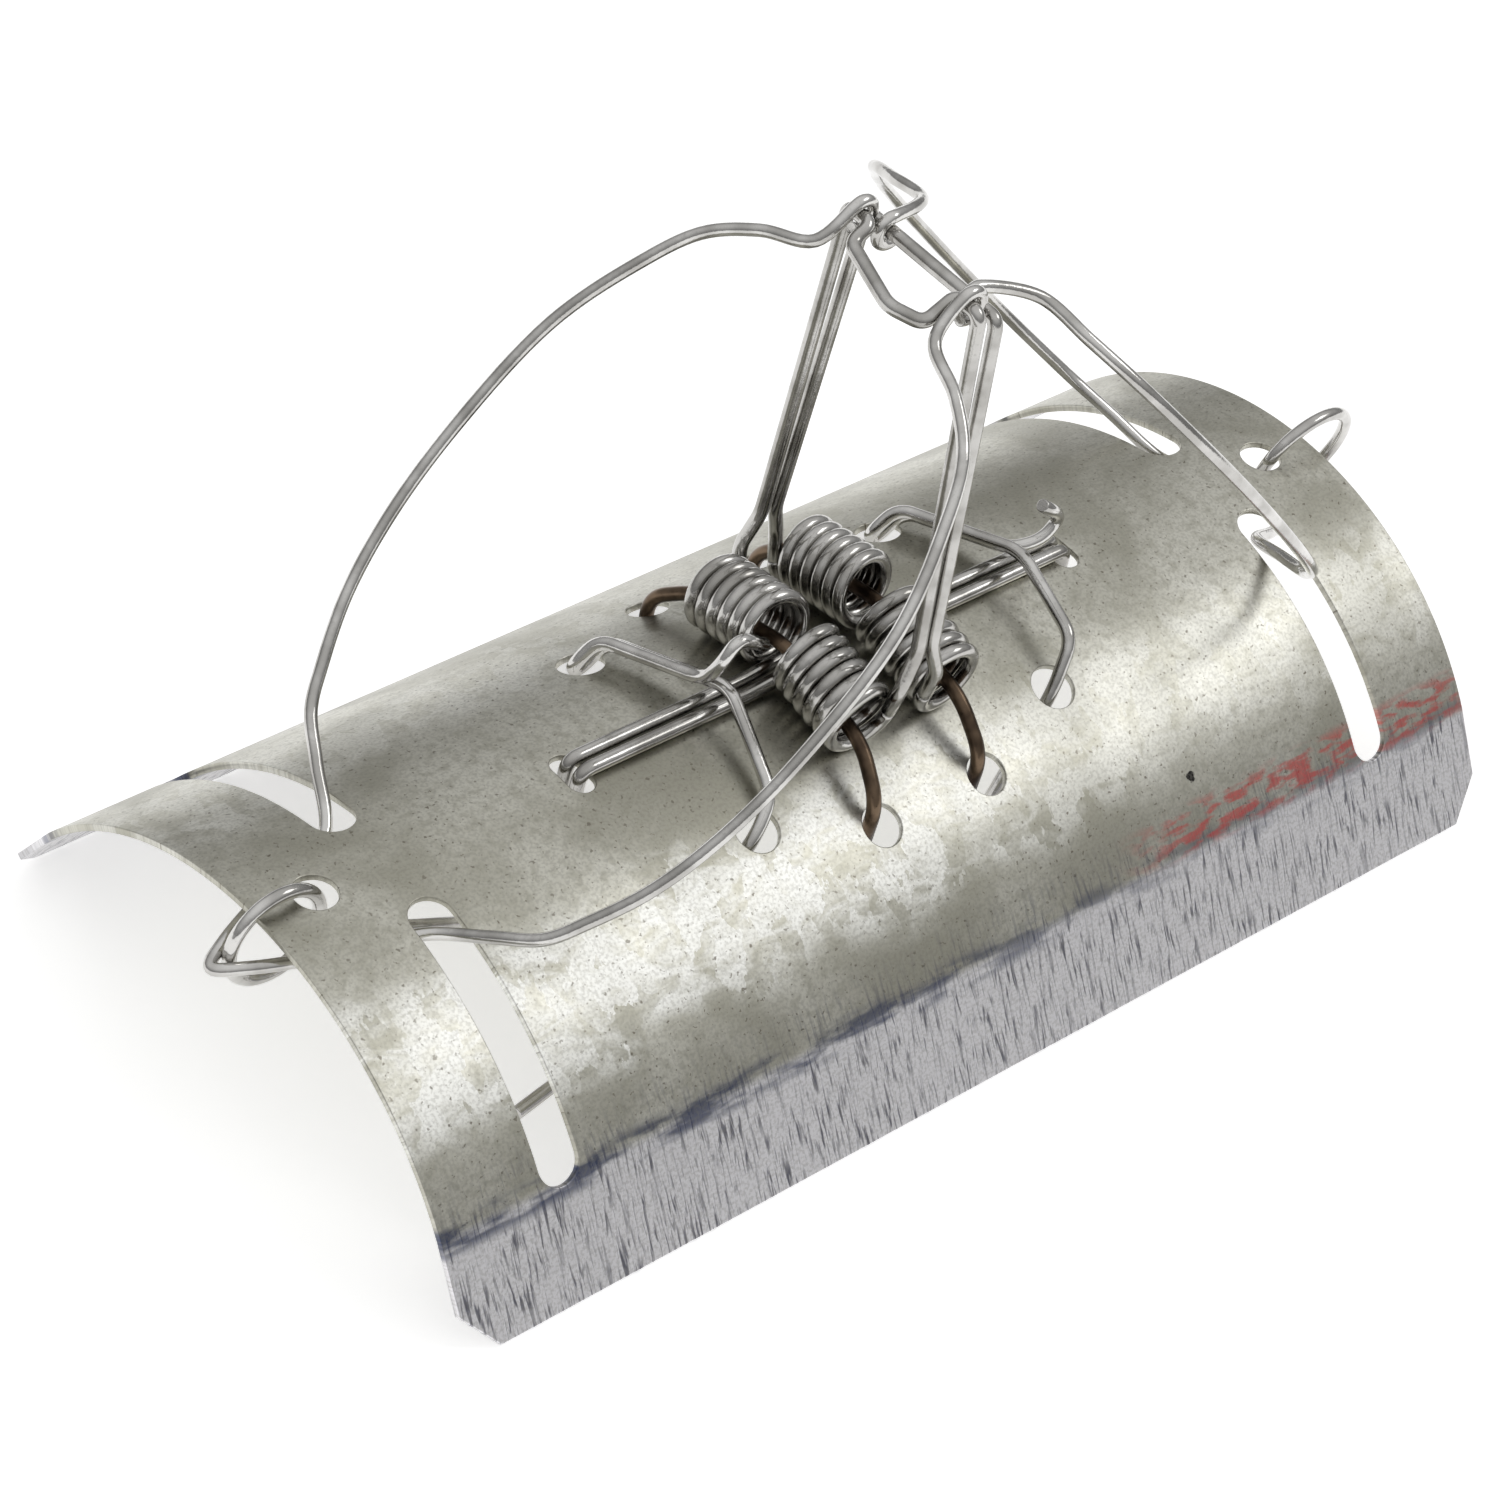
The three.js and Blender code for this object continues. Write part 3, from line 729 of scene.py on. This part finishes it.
class Metal:
    """A metal whose colour, roughness and bump are built from procedural nodes."""

    def __init__(self, name):
        self.material = bpy.data.materials.new(name)
        self.material.use_nodes = True
        self.tree = self.material.node_tree
        self.surface = self.tree.nodes["Principled BSDF"]
        self.surface.inputs["Metallic"].default_value = 1

    def feed(self, socket, value):
        if isinstance(value, bpy.types.NodeSocket):
            self.tree.links.new(value, socket)
        else:
            socket.default_value = value

    def node(self, kind, inputs=None, **settings):
        """Adds a shader node. Its inputs are given by name or number, as values or sockets."""
        made = self.tree.nodes.new(f"ShaderNode{kind}")
        for setting, value in settings.items():
            setattr(made, setting, value)
        for socket, value in (inputs or {}).items():
            self.feed(made.inputs[socket], value)
        return made

    def math(self, operation, first, second=0.0):
        return self.node("Math", {0: first, 1: second}, operation=operation).outputs[0]

    def times(self, *factors):
        product = factors[0]
        for factor in factors[1:]:
            product = self.math("MULTIPLY", product, factor)
        return product

    def ease(self, value, start, end):
        """Rises smoothly from 0 to 1 as the value goes from start to end."""
        inputs = {"Value": value, "From Min": start, "From Max": end}
        return self.node("MapRange", inputs, interpolation_type="SMOOTHSTEP").outputs[0]

    def within(self, value, low, high, soft):
        """Is 1 from low to high, and fades to 0 over a distance of soft outside them."""
        return self.times(self.ease(value, low - soft, low), self.ease(value, high + soft, high))

    def between(self, share, low, high):
        """Goes from low to high as share goes from 0 to 1."""
        return self.node("MapRange", {"Value": share, "To Min": low, "To Max": high}).outputs[0]

    def stretched(self, place, *scales):
        return self.node("VectorMath", {0: place, 1: scales}, operation="MULTIPLY").outputs[0]

    def noise(self, place, scale, detail=4.0, distortion=0.0):
        inputs = {"Vector": place, "Scale": scale, "Detail": detail, "Distortion": distortion}
        return self.node("TexNoise", inputs).outputs[0]

    def frayed(self, place, scale, reach):
        """Moves places about by noise, up to half of reach each way, to roughen what uses them."""
        wander = self.node("TexNoise", {"Vector": place, "Scale": scale, "Detail": 5.0}).outputs["Color"]
        inputs = {0: wander, 1: (reach, reach, reach), 2: place}
        return self.node("VectorMath", inputs, operation="MULTIPLY_ADD").outputs[0]

    def crystals(self, place, scale):
        """A random number for each cell of the metal's frozen crystals."""
        inputs = {"Vector": place, "Scale": scale}
        colour = self.node("TexVoronoi", inputs).outputs["Color"]
        return self.node("SeparateColor", {0: colour}).outputs[0]

    def mixed(self, share, first, second):
        """A mix of two colours, each a socket or a red, green and blue."""
        def colour(value):
            return (*value, 1) if isinstance(value, tuple) else value

        inputs = {0: share, 6: colour(first), 7: colour(second)}
        return self.node("Mix", inputs, data_type="RGBA").outputs[2]

    def finish(self, colour, roughness, height, depth):
        """Sets the surface, with bumps as deep as depth in millimetres."""
        bump = self.node("Bump", {"Height": height, "Distance": depth * MM}).outputs[0]
        self.feed(self.surface.inputs["Base Color"], colour)
        self.feed(self.surface.inputs["Roughness"], roughness)
        self.feed(self.surface.inputs["Normal"], bump)
        return self.material


def sheet_coordinates(metal):
    """Along the barrel, and round its girth from the ridge, in millimetres: apart and as one."""
    place_on = metal.node("TexCoord").outputs["Object"]
    parts = metal.node("SeparateXYZ", {0: place_on}).outputs
    above = metal.math("SUBTRACT", parts["Z"], CROWN_CENTRE_Z * MM)
    girth = metal.times(metal.math("ARCTAN2", parts["Y"], above), CROWN_RADIUS)
    along = metal.math("DIVIDE", parts["X"], MM)
    return along, girth, metal.node("CombineXYZ", {"X": along, "Y": girth}).outputs[0]


def add_spangle_highlight(metal, colour, along, girth, flat):
    """Bright feathery spangle crystals, gathered into a painted highlight: a band on each slope, most on
    the front one's left end, where the key light's reflection falls.
    """
    feathers = metal.crystals(metal.frayed(metal.stretched(flat, 1, 0.55, 1), 0.9, 2.6), 0.42)
    wisps = metal.noise(metal.stretched(flat, 0.5, 1, 1), 0.35, 6, 1.5)
    ripple = metal.times(metal.math("SUBTRACT", metal.noise(flat, 0.06), 0.5), 14)
    slope = metal.math("ADD", metal.math("ABSOLUTE", girth), ripple)
    # Painted highlight: the band of girths where the key light's reflection falls.
    highlight_band = metal.within(slope, *HIGHLIGHT_GIRTHS, 5)
    # The painted highlight fades towards the right end and onto the back slope.
    painted_light_fade = metal.between(metal.ease(along, *HIGHLIGHT_FADE), 1, 0.4)
    painted_light_fade = metal.times(painted_light_fade, metal.between(metal.ease(girth, -5, 5), 1, 0.4))
    patches = metal.ease(metal.math("ADD", metal.times(feathers, 0.4), wisps), 0.42, 0.88)
    amount = metal.times(highlight_band, painted_light_fade, patches)
    return metal.mixed(amount, colour, SPANGLE_HIGHLIGHT_WHITE), amount


def add_specks(metal, colour, flat):
    """Fine dark specks, crowded in places, and one larger black fleck."""
    specks = metal.ease(metal.noise(flat, 1.7, 2), 0.63, 0.7)
    crowding = metal.between(metal.noise(flat, 0.09), 0.1, 1.2)
    colour = metal.mixed(metal.times(specks, crowding), colour, SPECK_BROWN)
    off_fleck = metal.node("VectorMath", {0: metal.frayed(flat, 2, 0.8), 1: FLECK}, operation="DISTANCE")
    return metal.mixed(metal.ease(off_fleck.outputs["Value"], 0.7, 0.5), colour, FLECK_BLACK)


def add_flange(metal, colour, along, girth, flat):
    """Flanges lightened by a painted reflection of the floor and scratched up to the crease, where a
    painted dark reflection streaks along and fades towards the right.
    """
    distance = metal.math("ABSOLUTE", girth)
    # Painted reflection: the flanges are lightened towards the grey of the floor they reflect.
    flange_reflection = metal.ease(distance, CREASE_GIRTH - 0.7, CREASE_GIRTH + 0.7)
    colour = metal.mixed(metal.times(flange_reflection, 0.8), colour, FLANGE_REFLECTION_GREY)
    lines = metal.noise(metal.stretched(flat, 2.4, 0.26, 1), 1, 9, 0.6)
    reach = metal.ease(distance, *SCRATCH_REACH)
    clusters = metal.between(metal.ease(metal.noise(flat, 0.25), 0.35, 0.6), 0.4, 1)
    scratches = metal.times(metal.ease(lines, 0.47, 0.66), reach, clusters)
    colour = metal.mixed(scratches, colour, SCRATCH_GREY)
    # Painted dark reflection along the crease, streaked and fading towards the right.
    crease_reflection = metal.within(distance, *CREASE_REFLECTION_GIRTHS, 1.6)
    reflection_streaks = metal.ease(metal.noise(metal.stretched(flat, 0.13, 0.5, 1), 1, 7), 0.4, 0.6)
    painted_light_fade = metal.between(metal.ease(along, *CREASE_REFLECTION_FADE), 0.85, 0.4)
    return metal.mixed(metal.times(crease_reflection, reflection_streaks, painted_light_fade), colour, CREASE_REFLECTION_BLUE), scratches


def add_scuffs(metal, colour, along, girth, flat):
    """Red scuffs above the front crease, nearer the right end."""
    area = metal.times(metal.within(girth, *SCUFF_GIRTHS, 2), metal.within(along, *SCUFF_ALONG, 14))
    marks = metal.ease(metal.noise(metal.stretched(flat, 0.3, 0.9, 1), 1, 5), 0.44, 0.6)
    return metal.mixed(metal.times(area, marks, 0.7), colour, SCUFF_RED)


def galvanised_sheet():
    """Weathered zinc: clouds, crystals, specks, scratched flanges, scuffs and an even grain, with a painted
    highlight band on the slopes, a painted floor reflection on the flanges and a painted dark reflection
    along each crease.
    """
    metal = Metal("galvanised_sheet")
    along, girth, flat = sheet_coordinates(metal)
    clouds = metal.noise(flat, 0.055, 6, 0.6)
    colour = metal.mixed(metal.ease(clouds, 0.34, 0.66), OLIVE_GREY, ZINC_GREY)
    fine = metal.noise(flat, 0.8, 4)
    colour = metal.mixed(metal.times(metal.ease(fine, 0.42, 0.7), 0.6), colour, OLIVE_GREY)
    colour, spangle_highlight = add_spangle_highlight(metal, colour, along, girth, flat)
    colour = add_specks(metal, colour, flat)
    colour, scratches = add_flange(metal, colour, along, girth, flat)
    colour = add_scuffs(metal, colour, along, girth, flat)
    grain = metal.ease(metal.noise(flat, 2.6, 3), 0.42, 0.64)
    colour = metal.mixed(metal.times(grain, 0.3), colour, GRAIN_GREY)
    roughness = metal.between(clouds, 0.44, 0.26)
    roughness = metal.math("ADD", roughness, metal.times(spangle_highlight, 0.12))
    height = metal.math("SUBTRACT", metal.times(fine, 0.5), metal.times(scratches, 0.6))
    return metal.finish(colour, roughness, height, 0.03)


def wire_metal(name, dark, light, roughness):
    """A drawn wire: blotches some millimetres long, with finer pits and rubbed streaks."""
    metal = Metal(name)
    place_on = metal.node("TexCoord").outputs["Object"]
    blotches = metal.noise(place_on, 190, 3)
    pits = metal.noise(place_on, 1600, 2)
    colour = metal.mixed(metal.ease(blotches, 0.35, 0.62), dark, light)
    colour = metal.mixed(metal.times(metal.ease(pits, 0.6, 0.78), 0.5), colour, dark)
    smoothest, roughest = roughness
    polish = metal.times(metal.math("ADD", blotches, pits), 0.5)
    return metal.finish(colour, metal.between(polish, roughest, smoothest), pits, 0.02)


# ---------------------------------------------------------------- assembly

bpy.context.scene.view_settings.view_transform = "Standard"
add_surroundings()
add_floor()
add_key_light(add_camera())

sheet_metal = galvanised_sheet()
spring_metal = wire_metal("spring_wire", (0.34, 0.33, 0.31), (0.54, 0.53, 0.51), (0.09, 0.24))
zinc_metal = wire_metal("zinc_wire", (0.44, 0.43, 0.41), (0.66, 0.65, 0.63), (0.07, 0.2))
dark_metal = wire_metal("dark_wire", (0.03, 0.02, 0.015), (0.17, 0.12, 0.08), (0.2, 0.42))

finish_piece(make_barrel(), sheet_metal, "galvanised_sheet", "barrel", "barrel")
for hand in ENDS:
    for face, side in SIDES.items():
        coil = sweep(f"{hand}_{face}_spring", spring_half(hand, side), SPRING_WIRE)
        finish_piece(coil, spring_metal, "spring_wire", None,
                     f"{hand}_{face}_coil", f"{hand}_{face}_anchor_leg")
        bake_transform(coil)
    axle = sweep(f"{hand}_axle_wire", axle_points(hand), SPRING_WIRE)
    finish_piece(axle, dark_metal, "dark_wire", "barrel", f"{hand}_axle")
    bail = sweep(f"{hand}_bail_wire", bail_points(hand), SPRING_WIRE)
    finish_piece(bail, spring_metal, "spring_wire", f"{hand}_bail", f"{hand}_bail")
    loop = sweep(f"{hand}_loop_wire", loop_points(hand), LOOP_WIRE)
    finish_piece(loop, zinc_metal, "zinc_wire", f"{hand}_loop", f"{hand}_loop")
    catch = sweep(f"{hand}_catch_wire", catch_points(hand), CATCH_WIRE)
    finish_piece(catch, zinc_metal, "zinc_wire", f"{hand}_catch", f"{hand}_catch")
    latch = sweep(f"{hand}_latch_wire", latch_points(hand), LATCH_WIRE)
    finish_piece(latch, zinc_metal, "zinc_wire", f"{hand}_latch_bar", f"{hand}_latch_bar")
